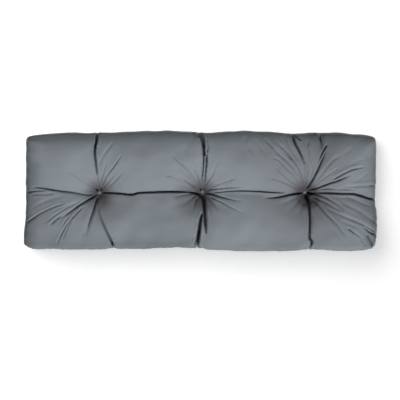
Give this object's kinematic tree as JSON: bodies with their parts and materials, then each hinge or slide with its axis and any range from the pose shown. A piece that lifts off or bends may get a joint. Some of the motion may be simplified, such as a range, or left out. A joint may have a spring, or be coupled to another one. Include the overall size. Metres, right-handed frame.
{
  "type": "pallet back cushion",
  "caption": "Long filled back cushion for a pallet seat, button tufted along its middle, lying on its back.",
  "frame": {"origin": "middle of the back, on the surface that the cushion lies on", "axes": "+X along the length, +Y towards the upper long edge in use, +Z out of the tufted front"},
  "size_m": [1.204, 0.4109, 0.1475],
  "materials": {
    "cushion_cloth": "fine plain-woven polyester in blue grey, with a soft sheen",
    "button_cloth": "the cushion's own cloth, drawn tight over a small dome"
  },
  "bodies": {
    "root": {"cushion": "cushion_cloth", "button_front_left": "button_cloth", "button_front_middle": "button_cloth", "button_front_right": "button_cloth", "button_back_left": "button_cloth", "button_back_middle": "button_cloth", "button_back_right": "button_cloth"}
  },
  "joints": []
}
